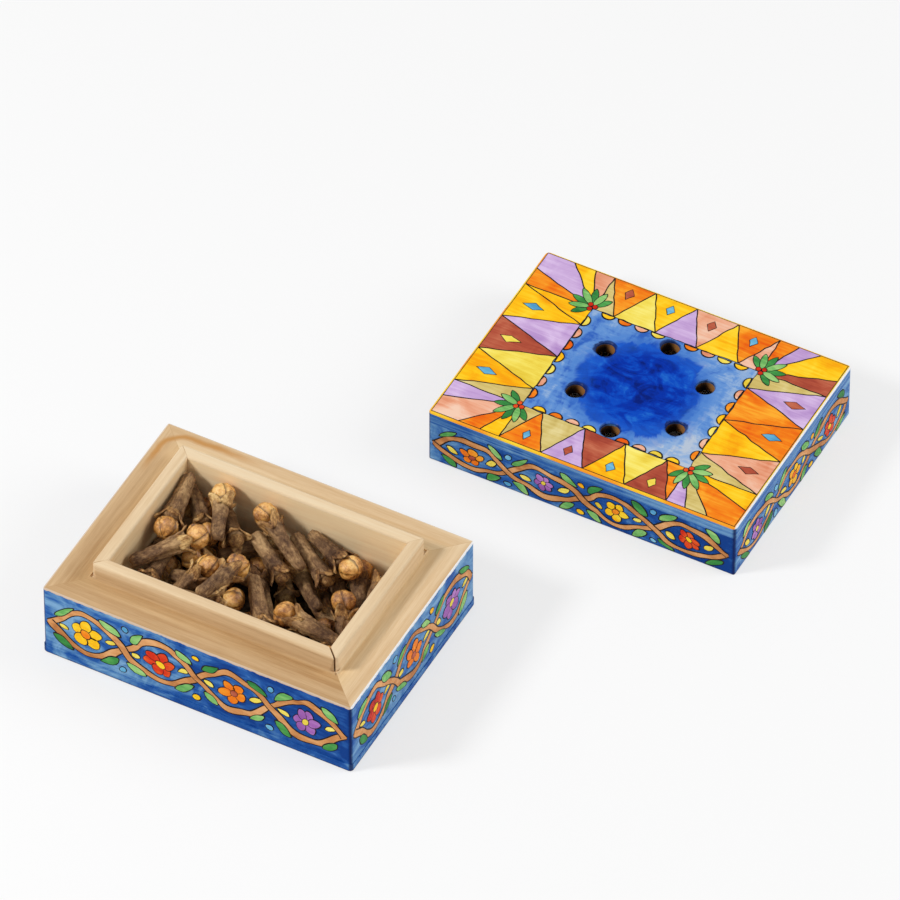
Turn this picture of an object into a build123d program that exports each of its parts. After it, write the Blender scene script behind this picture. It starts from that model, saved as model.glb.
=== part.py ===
from build123d import *
import math
import os
import numpy as np

# Small wooden spice box, shown open: a tray with a raised lip, its lift-off lid lying
# behind it, and whole dried cloves in the tray.
# Millimetres. Origin at the centre of the tray's underside, +X along the long side,
# +Y to the back, +Z up.

# ---- Outline shared by the tray and the lid ----
BOX_LENGTH = 70.0
BOX_WIDTH = 52.0
CORNER_RADIUS = 0.9
EDGE_RADIUS = 0.4

# ---- Tray: floor board with four moulded, mitred rails on it ----
FLOOR_THICKNESS = 2.0
FLOOR_OVERHANG = 0.15
LEDGE_HEIGHT = 18.3
RAIL_WIDTH = 10.0
LIP_HEIGHT = 4.0
LIP_FOOT_INSET = 7.0
LIP_TOP_INSET = 7.3
LIP_FOOT_COVE = 0.6
LIP_EDGE_RADIUS = 0.6
LIP_CORNER_RADIUS = 2.0
LIP_MITRE_GAP = 0.35

# ---- Lid: top board with four plain mitred rails under it ----
LID_CLEARANCE = 0.3
LID_RAIL_HEIGHT = 10.7
LID_BOARD_THICKNESS = 3.0
LID_TOP_RADIUS = 0.5
VENT_COUNT = 6
VENT_RADIUS = 2.0
VENT_CIRCLE_RADIUS = 13.2
VENT_FIRST_ANGLE = 30.0
VENT_RIM_CHAMFER = 0.25

# ---- Where the lid lies while it is off ----
LID_OFFSET_X = 42.6
LID_OFFSET_Y = 83.3

# ---- One dried clove, lying along +X with its tail at x = 0 ----
SHORT_CLOVE = 15.5
MEDIUM_CLOVE = 17.0
LONG_CLOVE = 18.5
STEM_TAIL_WIDTH = 2.4
STEM_MIDDLE_WIDTH = 3.1
STEM_CROWN_WIDTH = 4.0
STEM_MIDDLE_SHARE = 0.55
STEM_CHAMFER_SHARE = 0.24
BUD_HEIGHT = 4.8
BUD_NECK_RADIUS = 1.8
BUD_RADIUS = 2.7
BUD_CHEEK_RADIUS = 2.5
BUD_TIP_RADIUS = 1.3
BUD_WIDEST_SHARE = 0.35
BUD_CHEEK_SHARE = 0.7
BUD_SIDES = 8
LOBE_COUNT = 4
LOBE_ROOT_SIZE = (1.4, 2.2)
LOBE_TIP_SIZE = (0.4, 0.6)
LOBE_ROOT_RADIUS = 1.5
LOBE_TIP_RADIUS = 3.3
LOBE_RISE = 2.6

# ---- The pile of cloves ----
# The pile is heaped at the left and along the back, and falls to the front right.
HEAP_HEIGHT = 22.8
FILL_HEIGHT = 18.0
HEAP_EDGE_X = -3.0
FILL_EDGE_X = 4.0
HEAP_EDGE_Y = 11.0
FILL_EDGE_Y = 4.5
BED_DEPTH = 5.6
TOPPING_DEPTH = 0.6
WALL_CLEARANCE = 0.1
CONTACT_CLEARANCE = 0.03
CONTACT_STEP = 0.8
LOBE_CONTACT_SHARES = (0.45, 0.9)
LOBE_CONTACT_SPARE = 0.15
POUR_SEED = 1
POUR_TRIES = 240
POUR_MISSES = 14
POUR_PITCH = 18.0
SETTLE_TRIES = 80
SETTLE_SHARES = (1.0, 0.7, 0.45, 0.25, 0.12, 0.06)
SETTLE_DRIFT = (2.0, 2.0, 14.0, 9.0, 20.0)
# Cloves laid on top by hand: where the bud lies in plan, which way it points, its
# pitch and its kind.
TOP_CLOVES = (
    (-1.5, 8.5, -38.0, -26.0, "short"),
    (-9.5, 6.5, -50.0, -24.0, "short"),
    (-12.0, 3.0, -60.0, -12.0, "medium"),
    (-17.5, -6.5, -68.0, 14.0, "short"),
    (-11.5, -5.0, 98.0, 20.0, "short"),
    (2.0, -5.5, -56.0, 2.0, "medium"),
    (8.5, -7.5, 157.0, 0.0, "medium"),
    (18.5, 12.0, 96.0, 8.0, "short"),
    (19.5, 4.0, 84.0, 20.0, "short"),
    (10.0, 4.0, -26.0, 6.0, "medium"),
    (11.0, 11.5, -18.0, 2.0, "short"),
    (-3.5, 11.5, 113.0, 8.0, "short"),
    (0.0, 0.5, -48.0, 4.0, "medium"),
    (-5.5, -1.5, -4.0, 4.0, "long"),
    (-20.0, 6.0, -118.0, -4.0, "medium"),
    (8.5, -3.0, 158.0, 4.0, "medium"),
)
TOP_SLACK = (1.5, 1.5, 10.0, 14.0, 45.0)

lid_rail_width = LIP_FOOT_INSET - LID_CLEARANCE
compartment_length = BOX_LENGTH - 2 * RAIL_WIDTH
compartment_width = BOX_WIDTH - 2 * RAIL_WIDTH
lip_top = LEDGE_HEIGHT + LIP_HEIGHT
clove_lengths = {"short": SHORT_CLOVE, "medium": MEDIUM_CLOVE, "long": LONG_CLOVE}


def footprint(height, overhang=0.0):
    """Upright block with the box's outline and rounded corners, standing on z = 0."""
    outline = RectangleRounded(BOX_LENGTH + 2 * overhang, BOX_WIDTH + 2 * overhang, CORNER_RADIUS)
    return extrude(outline, height)


def round_corners(profile, radii):
    """Round the profile's corners given as (point, radius)."""
    for point, radius in radii:
        corner = profile.vertices().sort_by_distance(point)[0]
        profile = fillet(corner, radius)
    return profile


def tray_profile():
    """Section of a tray rail: x is the inset from the outer face, y is the height."""
    corners = [
        (0, FLOOR_THICKNESS),
        (0, LEDGE_HEIGHT),
        (LIP_FOOT_INSET, LEDGE_HEIGHT),
        (LIP_TOP_INSET, lip_top),
        (RAIL_WIDTH, lip_top),
        (RAIL_WIDTH, FLOOR_THICKNESS),
    ]
    radii = (EDGE_RADIUS, LIP_FOOT_COVE, LIP_EDGE_RADIUS, LIP_EDGE_RADIUS)
    return round_corners(make_face(Polyline(*corners, close=True)), zip(corners[1:5], radii))


def lid_profile():
    """Section of a lid rail, with both of its lower edges eased."""
    corners = [(0, 0), (0, LID_RAIL_HEIGHT), (lid_rail_width, LID_RAIL_HEIGHT), (lid_rail_width, 0)]
    eased = ((corners[0], EDGE_RADIUS), (corners[3], EDGE_RADIUS))
    return round_corners(make_face(Polyline(*corners, close=True)), eased)


def mitred_rail(profile, length):
    """Run the profile along X with its outer face on y = 0, mitred at both ends."""
    run = extrude(Plane.YZ * profile, length / 2, both=True)
    reach = profile.bounding_box().max.X
    half = length / 2
    sector = Polyline(
        (-half - reach, -reach),
        (half + reach, -reach),
        (half - 2 * reach, 2 * reach),
        (-half + 2 * reach, 2 * reach),
        close=True,
    )
    tall = profile.bounding_box().max.Y
    return run & extrude(make_face(sector), tall)


def frame_rails(profile):
    """The four rails of one frame, by side, standing on the box's outline."""
    long_rail = mitred_rail(profile, BOX_LENGTH)
    short_rail = mitred_rail(profile, BOX_WIDTH)
    return {
        "front": Location((0, -BOX_WIDTH / 2, 0)) * long_rail,
        "right": Location((BOX_LENGTH / 2, 0, 0), (0, 0, 90)) * short_rail,
        "back": Location((0, BOX_WIDTH / 2, 0), (0, 0, 180)) * long_rail,
        "left": Location((-BOX_LENGTH / 2, 0, 0), (0, 0, -90)) * short_rail,
    }


def lip_corner_waste():
    """What is sanded off the lip's four outer corners."""
    foot_length = BOX_LENGTH - 2 * LIP_FOOT_INSET
    foot_width = BOX_WIDTH - 2 * LIP_FOOT_INSET
    square = Rectangle(foot_length, foot_width)
    rounded = RectangleRounded(foot_length, foot_width, LIP_CORNER_RADIUS)
    return Location((0, 0, LEDGE_HEIGHT)) * extrude(square - rounded, LIP_HEIGHT)


def open_mitre():
    """Slit left where the lip's mitre doesn't close, at the front right corner."""
    reach = RAIL_WIDTH - LIP_FOOT_INSET
    middle = (LIP_FOOT_INSET + RAIL_WIDTH) / 2
    slit = Box(2 * reach, LIP_MITRE_GAP, LIP_HEIGHT, align=(Align.CENTER, Align.MAX, Align.MIN))
    corner = (BOX_LENGTH / 2 - middle, -BOX_WIDTH / 2 + middle, LEDGE_HEIGHT)
    return Location(corner, (0, 0, -45)) * slit


def tray_rails():
    rails = frame_rails(tray_profile())
    block = footprint(lip_top)
    waste = lip_corner_waste()
    rails = {side: (rail & block) - waste for side, rail in rails.items()}
    rails["front"] = rails["front"] - open_mitre()
    return rails


def lid_rails():
    block = footprint(LID_RAIL_HEIGHT)
    return {side: rail & block for side, rail in frame_rails(lid_profile()).items()}


def floor_board():
    board = footprint(FLOOR_THICKNESS, FLOOR_OVERHANG)
    return fillet(board.faces().sort_by(Axis.Z)[0].edges(), EDGE_RADIUS)


def lid_board():
    """Top board over the lid's rails, with its ring of vents."""
    board = footprint(LID_BOARD_THICKNESS)
    board = fillet(board.faces().sort_by(Axis.Z)[-1].edges(), LID_TOP_RADIUS)
    vent = Cylinder(VENT_RADIUS, 2 * LID_BOARD_THICKNESS)
    rim = Location((0, 0, LID_BOARD_THICKNESS - VENT_RIM_CHAMFER)) * Cone(
        VENT_RADIUS, VENT_RADIUS + 2 * VENT_RIM_CHAMFER, 2 * VENT_RIM_CHAMFER,
        align=(Align.CENTER, Align.CENTER, Align.MIN),
    )
    ring = PolarLocations(VENT_CIRCLE_RADIUS, VENT_COUNT, start_angle=VENT_FIRST_ANGLE)
    board = board - ring * (vent + rim)
    return Location((0, 0, LID_RAIL_HEIGHT)) * board


def corners(plane, outline):
    """Corner points of an outline laid on a plane."""
    return [tuple(vertex) for vertex in (plane * outline).vertices()]


def across(x):
    """Plane that cuts across the clove's axis at x."""
    return Plane(origin=(x, 0, 0), x_dir=(0, 1, 0), z_dir=(1, 0, 0))


def stem_section(width):
    """Square section with its corners taken off."""
    square = Rectangle(width, width)
    return chamfer(square.vertices(), STEM_CHAMFER_SHARE * width)


def clove_stem(crown):
    """Four-sided stem that swells from its tail to the crown under the bud."""
    middle = crown * STEM_MIDDLE_SHARE
    tail = corners(across(0), stem_section(STEM_TAIL_WIDTH))
    waist = corners(across(middle), stem_section(STEM_MIDDLE_WIDTH))
    top = corners(across(crown), stem_section(STEM_CROWN_WIDTH))
    return ConvexPolyhedron(tail + waist) + ConvexPolyhedron(waist + top)


def clove_bud(crown):
    """Closed bud of folded petals, faceted, standing on the crown."""
    stations = (
        (0, BUD_NECK_RADIUS),
        (BUD_WIDEST_SHARE * BUD_HEIGHT, BUD_RADIUS),
        (BUD_CHEEK_SHARE * BUD_HEIGHT, BUD_CHEEK_RADIUS),
        (BUD_HEIGHT, BUD_TIP_RADIUS),
    )
    points = []
    for x, radius in stations:
        points += corners(across(crown + x), RegularPolygon(radius, BUD_SIDES))
    return ConvexPolyhedron(points)


def clove_lobes(crown):
    """Sepals that stand out around the bud."""
    root = corners(Plane(origin=(crown, 0, LOBE_ROOT_RADIUS)), Rectangle(*LOBE_ROOT_SIZE))
    tip_plane = Plane(origin=(crown + LOBE_RISE, 0, LOBE_TIP_RADIUS))
    lobe = ConvexPolyhedron(root + corners(tip_plane, Rectangle(*LOBE_TIP_SIZE)))
    return [lobe.rotate(Axis.X, 360 * i / LOBE_COUNT) for i in range(LOBE_COUNT)]


def clove(length):
    """One clove with its middle at the origin."""
    crown = length - BUD_HEIGHT
    solid = clove_stem(crown) + clove_bud(crown)
    for lobe in clove_lobes(crown):
        solid = solid + lobe
    return Location((-length / 2, 0, 0)) * solid


def contact_spheres(length):
    """Spheres, as rows of x, y, z and radius, that together cover one clove."""
    crown = length - BUD_HEIGHT
    stations = (0, crown * STEM_MIDDLE_SHARE, crown)
    widths = (STEM_TAIL_WIDTH, STEM_MIDDLE_WIDTH, STEM_CROWN_WIDTH)
    steps = np.linspace(0.5 * CONTACT_STEP, crown, math.ceil(crown / CONTACT_STEP))
    corner = math.hypot(0.5, 0.5 - STEM_CHAMFER_SHARE)
    spheres = [
        (x, 0, 0, math.hypot(corner * np.interp(x, stations, widths), 0.5 * CONTACT_STEP))
        for x in steps
    ]
    bud_reach = math.hypot(BUD_RADIUS, (0.5 - BUD_WIDEST_SHARE) * BUD_HEIGHT)
    spheres.append((crown + 0.5 * BUD_HEIGHT, 0, 0, bud_reach))
    for i in range(LOBE_COUNT):
        angle = math.tau * i / LOBE_COUNT
        for share in LOBE_CONTACT_SHARES:
            out = LOBE_ROOT_RADIUS + share * (LOBE_TIP_RADIUS - LOBE_ROOT_RADIUS)
            size = [a + share * (b - a) for a, b in zip(LOBE_ROOT_SIZE, LOBE_TIP_SIZE)]
            radius = 0.5 * math.hypot(*size) + LOBE_CONTACT_SPARE
            place = (crown + share * LOBE_RISE, out * math.sin(angle), out * math.cos(angle))
            spheres.append((*place, radius))
    spheres = np.array(spheres)
    spheres[:, 0] -= length / 2
    spheres[:, 3] += CONTACT_CLEARANCE
    return spheres


def turned(yaw, pitch, roll):
    """Rotation matrices for arrays of angles in degrees: roll, then bud up, then yaw."""
    yaw, pitch, roll = (np.radians(angle) for angle in (yaw, pitch, roll))
    cy, sy, cp, sp, cr, sr = (f(a) for a in (yaw, pitch, roll) for f in (np.cos, np.sin))
    rows = (
        (cy * cp, -cy * sp * sr - sy * cr, -cy * sp * cr + sy * sr),
        (sy * cp, -sy * sp * sr + cy * cr, -sy * sp * cr - cy * sr),
        (sp, cp * sr, cp * cr),
    )
    return np.moveaxis(np.array([list(row) for row in rows]), 2, 0)


def pile_height(x, y):
    """How high the cloves may reach across the tray."""
    heap_at_left = np.interp(x, (HEAP_EDGE_X, FILL_EDGE_X), (HEAP_HEIGHT, FILL_HEIGHT))
    heap_at_back = np.interp(y, (FILL_EDGE_Y, HEAP_EDGE_Y), (FILL_HEIGHT, HEAP_HEIGHT))
    return np.maximum(heap_at_left, heap_at_back)


class Pile:
    """Cloves let down one by one. A pose is a row of x, y, yaw, pitch and roll."""

    def __init__(self, seed):
        self.rng = np.random.default_rng(seed)
        self.spheres = np.empty((0, 4))
        self.placed = []

    def resting(self, proxy, poses):
        """Lower the proxy in every pose until it touches; give its spheres and its place."""
        turn = turned(*poses.T[2:])
        radius = proxy[:, 3]
        points = np.einsum("nij,mj->nmi", turn, proxy[:, :3])
        room = np.array([compartment_length, compartment_width]) / 2 - WALL_CLEARANCE
        low = -room - (points[:, :, :2] - radius[None, :, None]).min(axis=1)
        high = room - (points[:, :, :2] + radius[None, :, None]).max(axis=1)
        plan = np.clip(poses[:, :2], low, np.maximum(low, high))
        points[:, :, :2] += plan[:, None, :]
        height = (FLOOR_THICKNESS + radius - points[:, :, 2]).max(axis=1)
        low = points[:, :, :2].min(axis=(0, 1)) - radius.max()
        high = points[:, :, :2].max(axis=(0, 1)) + radius.max()
        flat, size = self.spheres[:, :2], self.spheres[:, 3:]
        near = np.all((flat + size > low) & (flat - size < high), axis=1)
        for x, y, z, size in self.spheres[near]:
            reach = (radius + size) ** 2 - (points[:, :, 0] - x) ** 2 - (points[:, :, 1] - y) ** 2
            touch = z + np.sqrt(np.maximum(reach, 0)) - points[:, :, 2]
            height = np.maximum(height, np.where(reach > 0, touch, 0).max(axis=1))
        points[:, :, 2] += height[:, None]
        return points, turn, np.column_stack([plan, height])

    def settle(self, kind, poses, depth):
        """Keep the lowest pose, let it drift lower, and place it if it fits."""
        proxy = contact_spheres(clove_lengths[kind])
        for share in SETTLE_SHARES:
            points, turn, place = self.resting(proxy, poses)
            rightmost, frontmost = points[:, :, 0] + proxy[:, 3], points[:, :, 1] - proxy[:, 3]
            ceiling = pile_height(rightmost, frontmost) - depth
            over = (points[:, :, 2] + proxy[:, 3] - ceiling).max(axis=1)
            best = int(np.argmin(place[:, 2] + np.maximum(over, 0)))
            lowest = poses[best]
            nudges = self.rng.normal(size=(SETTLE_TRIES, 5)) * SETTLE_DRIFT * share
            poses = np.vstack([lowest, lowest + nudges])
        if over[best] > 0:
            return False
        self.spheres = np.vstack([self.spheres, np.column_stack([points[best], proxy[:, 3]])])
        self.placed.append((kind, place[best], turn[best]))
        return True

    def pour(self, depth):
        """Add cloves lying any way round, until no more fit this far under the top."""
        half = np.array([compartment_length / 2, compartment_width / 2, 180, POUR_PITCH, 45])
        kinds = list(clove_lengths)
        misses = 0
        while misses < POUR_MISSES:
            kind = kinds[self.rng.integers(len(kinds))]
            poses = self.rng.uniform(-half, half, (POUR_TRIES, 5))
            misses = 0 if self.settle(kind, poses, depth) else misses + 1

    def dress(self):
        """Lay the top cloves close to their chosen places."""
        for bud_x, bud_y, yaw, pitch, kind in TOP_CLOVES:
            back = 0.5 * (clove_lengths[kind] - BUD_HEIGHT) * math.cos(math.radians(pitch))
            x = bud_x - back * math.cos(math.radians(yaw))
            y = bud_y - back * math.sin(math.radians(yaw))
            chosen = np.array([x, y, yaw, pitch, 0])
            poses = chosen + self.rng.uniform(-1, 1, (POUR_TRIES, 5)) * TOP_SLACK
            self.settle(kind, poses, 0)


def clove_pile():
    """Every clove in the tray as a solid of its own."""
    pile = Pile(POUR_SEED)
    pile.pour(BED_DEPTH)
    pile.dress()
    pile.pour(TOPPING_DEPTH)
    kinds = {kind: clove(length) for kind, length in clove_lengths.items()}
    solids = []
    for kind, place, turn in pile.placed:
        pose = Plane(origin=tuple(place), x_dir=tuple(turn[:, 0]), z_dir=tuple(turn[:, 2]))
        solids.append(pose.location * kinds[kind].solid())
    return Compound(children=solids)


def write_part(name, shape):
    export_step(shape, f"parts/{name}.step")


os.makedirs("parts", exist_ok=True)

write_part("base_floor_board", floor_board())
for side, rail in tray_rails().items():
    write_part(f"base_{side}_rail", rail)

lid_place = Location((LID_OFFSET_X, LID_OFFSET_Y, 0))
write_part("lid_top_board", lid_place * lid_board())
for side, rail in lid_rails().items():
    write_part(f"lid_{side}_rail", lid_place * rail)

write_part("cloves", clove_pile())
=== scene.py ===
import math
import random
from functools import partialmethod

import bmesh
import bpy
from mathutils import Matrix, Vector, noise


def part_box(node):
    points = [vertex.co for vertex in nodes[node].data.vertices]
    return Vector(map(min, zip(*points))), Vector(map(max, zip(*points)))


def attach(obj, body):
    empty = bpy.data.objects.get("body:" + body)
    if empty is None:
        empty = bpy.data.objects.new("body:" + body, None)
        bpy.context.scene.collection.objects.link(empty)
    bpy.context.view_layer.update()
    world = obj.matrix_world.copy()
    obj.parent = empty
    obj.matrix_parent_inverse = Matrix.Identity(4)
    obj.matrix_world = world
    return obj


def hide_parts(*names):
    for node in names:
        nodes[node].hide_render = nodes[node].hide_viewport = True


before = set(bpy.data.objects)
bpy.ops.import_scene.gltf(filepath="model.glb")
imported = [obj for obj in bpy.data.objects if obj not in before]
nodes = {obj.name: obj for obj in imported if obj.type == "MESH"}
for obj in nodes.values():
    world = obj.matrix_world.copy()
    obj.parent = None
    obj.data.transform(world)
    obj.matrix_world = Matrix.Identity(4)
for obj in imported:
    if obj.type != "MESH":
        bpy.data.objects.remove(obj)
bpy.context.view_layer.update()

# A painted wooden spice box: an open tray full of whole cloves, and its lift-off lid
# lying behind it. Lengths are in metres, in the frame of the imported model, unless a
# name ends in MM.

MM = 0.001

# ---- Camera, as a real camera ----
CAMERA_PLACE_MM = (804.75, -1431.85, 1760.44)
CAMERA_AIM_MM = (10.53, 61.43, 0.0)
CAMERA_ROLL_DEGREES = 0.061
CAMERA_LENS_MM = 480.0
CAMERA_SENSOR_MM = 36.0

# ---- Light ----
# Each lamp: the way to it, its width, and its power.
LAMP_DISTANCE = 0.9
LAMPS = {
    "key": ((-0.90, -0.80, 1.0), 0.20, 4.7),
    "fill": ((1.0, 0.40, 0.7), 0.55, 3.4),
}
SKY_STRENGTH = 0.46
FLOOR_SIZE = 3.0
FLOOR_GREY = (0.86, 0.86, 0.86, 1.0)
FLOOR_WHITENING = 0.62
COVER_REACH = 0.05
COVER_SAMPLES = 12
COVERED_SHARE = 0.08
OPEN_SHARE = 0.33

# ---- Paint ----
PAINT_THICKNESS_MM = 0.05
INK_WIDTH_MM = 0.27
PATCH_INK_MM = 0.14
PATCH_CUTS = 7
WOBBLE_FINENESS = 0.42
WOBBLE_MM = 0.30
HAND_WOBBLE_MM = 1.1
HAND_FINENESS = 0.21
INK_FINENESS = 1.1
INK_UNEVENNESS = 0.6
WAVER_MARGIN_MM = 1.5
SECOND_DRAW = Vector((17.3, 5.9, 31.7))
PRIMER_LINE_MM = 0.38
SEAT_DEPTH_MM = 0.03
PAINT_SPECULAR = 0.05


# ---- Node helpers ----

class Nodes:
    """A node tree, with short calls for the nodes used here."""

    def __init__(self, tree):
        self.tree = tree

    def new(self, kind):
        return self.tree.nodes.new("ShaderNode" + kind)

    def put(self, socket, value):
        """Link a socket to an output, or set its value."""
        if isinstance(value, bpy.types.NodeSocket):
            self.tree.links.new(value, socket)
        else:
            socket.default_value = value

    def calc(self, operation, first, second=0.0, third=0.0, clamp=False):
        node = self.new("Math")
        node.operation = operation
        node.use_clamp = clamp
        for socket, value in zip(node.inputs, (first, second, third)):
            self.put(socket, value)
        return node.outputs[0]

    plus = partialmethod(calc, "ADD")
    minus = partialmethod(calc, "SUBTRACT")
    times = partialmethod(calc, "MULTIPLY")
    times_plus = partialmethod(calc, "MULTIPLY_ADD")
    larger = partialmethod(calc, "MAXIMUM")
    smaller = partialmethod(calc, "MINIMUM")
    absolute = partialmethod(calc, "ABSOLUTE")

    def hypotenuse(self, first, second):
        return self.calc("SQRT", self.plus(self.times(first, first), self.times(second, second)))

    def remap(self, value, low, high, to_low=0.0, to_high=1.0):
        """Smooth step between two values, level past both ends."""
        node = self.new("MapRange")
        node.interpolation_type = "SMOOTHSTEP"
        for socket, item in zip(node.inputs, (value, low, high, to_low, to_high)):
            self.put(socket, item)
        return node.outputs[0]

    def below(self, value, limit, soft):
        """One under the limit, nothing above it, with a soft edge."""
        return self.remap(value, limit - soft, limit + soft, 1.0, 0.0)

    def parts(self, vector):
        node = self.new("SeparateXYZ")
        self.put(node.inputs[0], vector)
        return node.outputs[0], node.outputs[1], node.outputs[2]


class Shader(Nodes):
    """A piece's material, which reads its place on the piece."""

    def __init__(self, name):
        self.material = bpy.data.materials.new(name)
        self.material.use_nodes = True
        super().__init__(self.material.node_tree)
        self.bsdf = self.tree.nodes["Principled BSDF"]
        coordinates = self.new("TexCoord")
        self.place = coordinates.outputs["Object"]
        self.normal = coordinates.outputs["Normal"]

    def noise(self, fineness, detail=3.0, roughness=0.55, distortion=0.0, shift=(0, 0, 0), turn=0.0,
              source=None):
        """Noise as fine along each axis as told, shifted, and turned about the upright."""
        mapping = self.new("Mapping")
        self.put(mapping.inputs["Vector"], source or self.place)
        mapping.inputs["Location"].default_value = shift
        mapping.inputs["Rotation"].default_value = (0, 0, turn)
        mapping.inputs["Scale"].default_value = fineness
        node = self.new("TexNoise")
        for name, value in (("Vector", mapping.outputs[0]), ("Scale", 1.0), ("Detail", detail),
                            ("Roughness", roughness), ("Distortion", distortion)):
            self.put(node.inputs[name], value)
        return node.outputs["Fac"]

    def ramp(self, factor, stops, eased=False):
        node = self.new("ValToRGB")
        self.put(node.inputs[0], factor)
        band = node.color_ramp
        band.interpolation = "EASE" if eased else "LINEAR"
        while len(band.elements) < len(stops):
            band.elements.new(1.0)
        for element, (place, colour) in zip(band.elements, stops):
            element.position = place
            element.color = (*colour, 1.0)
        return node.outputs["Color"]

    def mix(self, factor, first, second, blend="MIX"):
        node = self.new("Mix")
        node.data_type = "RGBA"
        node.blend_type = blend
        for name, value in (("Factor_Float", factor), ("A_Color", first), ("B_Color", second)):
            socket = next(s for s in node.inputs if s.identifier == name)
            if isinstance(value, tuple):
                value = (*value, 1.0)
            self.put(socket, value)
        return next(s for s in node.outputs if s.identifier == "Result_Color")

    def bump(self, height, strength, distance, under=None):
        node = self.new("Bump")
        self.put(node.inputs["Height"], height)
        node.inputs["Strength"].default_value = strength
        node.inputs["Distance"].default_value = distance
        if under is not None:
            self.put(node.inputs["Normal"], under)
        return node.outputs[0]

    def finish(self, colour, roughness, relief=None, specular=PAINT_SPECULAR):
        self.put(self.bsdf.inputs["Base Color"], colour)
        self.put(self.bsdf.inputs["Roughness"], roughness)
        self.bsdf.inputs["Specular IOR Level"].default_value = specular
        if relief is not None:
            self.put(self.bsdf.inputs["Normal"], relief)
        return self.material


# ---- The box's own sizes ----

tray_front, tray_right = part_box("base_front_rail"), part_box("base_right_rail")
lid_board_low, lid_board_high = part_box("lid_top_board")

half_length = tray_right[1].x
half_width = -tray_front[0].y
rail_foot = tray_front[0].z
lip_top = tray_front[1].z
lip_height = 4.0 * MM
ledge_height = lip_top - lip_height
lid_centre = (lid_board_low + lid_board_high) / 2
lid_centre.z = 0.0
lid_top = lid_board_high.z
lid_board_under = lid_board_low.z
vent_circle = 13.2 * MM
vent_radius = 2.0 * MM

# How far in from the outer face the lip's foot, top and inner wall lie.
LIP_FOOT_MM = 7.0
LIP_TOP_MM = 7.7
LIP_WALL_MM = 9.8
STREAK_INSET_MM = 1.8
STREAK_BEND_MM = 5.0

SIDES = ("front", "right", "back", "left")
BRUSH_AXIS = {"front": 0, "right": 1, "back": 0, "left": 1}
OUTWARD = {"front": (0, -1, 0), "right": (1, 0, 0), "back": (0, 1, 0), "left": (-1, 0, 0)}


# ---- Wood and paint ----

WOOD_DARK = (0.44, 0.26, 0.12)
WOOD_TAN = (0.64, 0.44, 0.245)
WOOD_PALE = (0.78, 0.60, 0.385)
WOOD_CREAM = (0.85, 0.71, 0.50)
WOOD_ORANGE = (0.52, 0.25, 0.07)
BORED_WOOD = (0.42, 0.19, 0.055)
# Painted shade: the near black inside the lid's vents.
VENT_PAINTED_SHADE = (0.012, 0.006, 0.004)
# Clove dust and painted shade: near black on the tray's floor, for the deep shade in the gaps between the
# cloves.
CLOVE_DUST_AND_SHADE = (0.020, 0.011, 0.006)
PRIMER = (0.86, 0.87, 0.88)
BLUE_PALE = (0.20, 0.39, 0.62)
BLUE_LIGHT = (0.096, 0.245, 0.49)
BLUE_MID = (0.018, 0.105, 0.38)
BLUE_DEEP = (0.001, 0.044, 0.245)
NAVY = (0.004, 0.010, 0.085)

# Tone of the wood: of the ledge's outer and inner part, and of the lip's face and top.
LEDGE_SHIFT = {"front": (-0.225, -0.165), "right": (-0.015, -0.015), "back": (-0.02, -0.035),
               "left": (-0.10, -0.11)}
LIP_FACE_SHIFT = {"front": -0.035, "right": 0.03, "back": 0.03, "left": 0.03}
LIP_TOP_SHIFT = 0.045
# Painted shade: a warm tint where the lip's shadow falls on the ledge near its foot.
LIP_SHADOW_PAINTED_WARMTH = (1.0, 0.97, 0.88)
# Painted light: each inner wall is brightened and warmed, as by bounced light, most at the back.
INNER_WALL_PAINTED_LIGHT = {"front": (1.08, 1.04, 0.95), "right": (1.08, 1.04, 0.95), "back": (1.22, 1.20, 1.10),
             "left": (1.06, 1.02, 0.91)}

# The blue coat's weight, how fast it deepens along the front, and the primer that it leaves.
COAT_DEPTH = {"front": 0.055, "right": -0.06, "back": 0.02, "left": 0.02}
LID_COAT_EXTRA = 0.03
TRAY_DEEPENING = {"front": 4.8, "right": 0.0, "back": 0.0, "left": 0.0}
LID_DEEPENING = {"front": 3.8, "right": 0.0, "back": 0.0, "left": 0.0}
PRIMER_SHOWN = {"front": 0.25, "right": 0.95, "back": 0.3, "left": 0.3}
PAINTED_DEPTH_MM = 0.33
CORNER_LINE_MM = 0.55
CORNER_DARKNESS = 0.85

# The lid's top: blue field, deep round with a halo, warm rim, and the vents.
FIELD_BLUES = ((0.36, (0.46, 0.54, 0.66)), (0.44, (0.27, 0.42, 0.68)),
               (0.53, (0.12, 0.28, 0.64)), (0.66, (0.030, 0.12, 0.50)))
ROUND_BLUES = ((0.38, (0.014, 0.14, 0.60)), (0.46, (0.002, 0.064, 0.50)),
               (0.53, (0.0, 0.030, 0.37)), (0.62, (0.0, 0.012, 0.18)))
ROUND_EDGE_BLUE = (0.020, 0.13, 0.60)
HALO_BLUE = (0.06, 0.20, 0.60)
ROUND_RADIUS_MM = 13.1
HALO_RADIUS_MM = 15.4
RAGGED_MM = 10.0
RIM_PAINTS = ((0.40, (0.92, 0.34, 0.02)), (0.50, (0.95, 0.56, 0.03)), (0.60, (0.98, 0.66, 0.04)))
RIM_WIDTH_MM = 0.65
RIM_DROP_MM = 0.42
# Way the painted lit side of each vent's wall faces; the rest of the wall is painted near black as shade.
VENT_LIT_SIDE = (-0.87, -0.49)
SMEAR_MM = 1.8


def along(axis, with_grain, across):
    """Fineness of a pattern that is stretched along one axis."""
    scale = [across] * 3
    scale[axis] = with_grain
    return tuple(scale)


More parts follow.
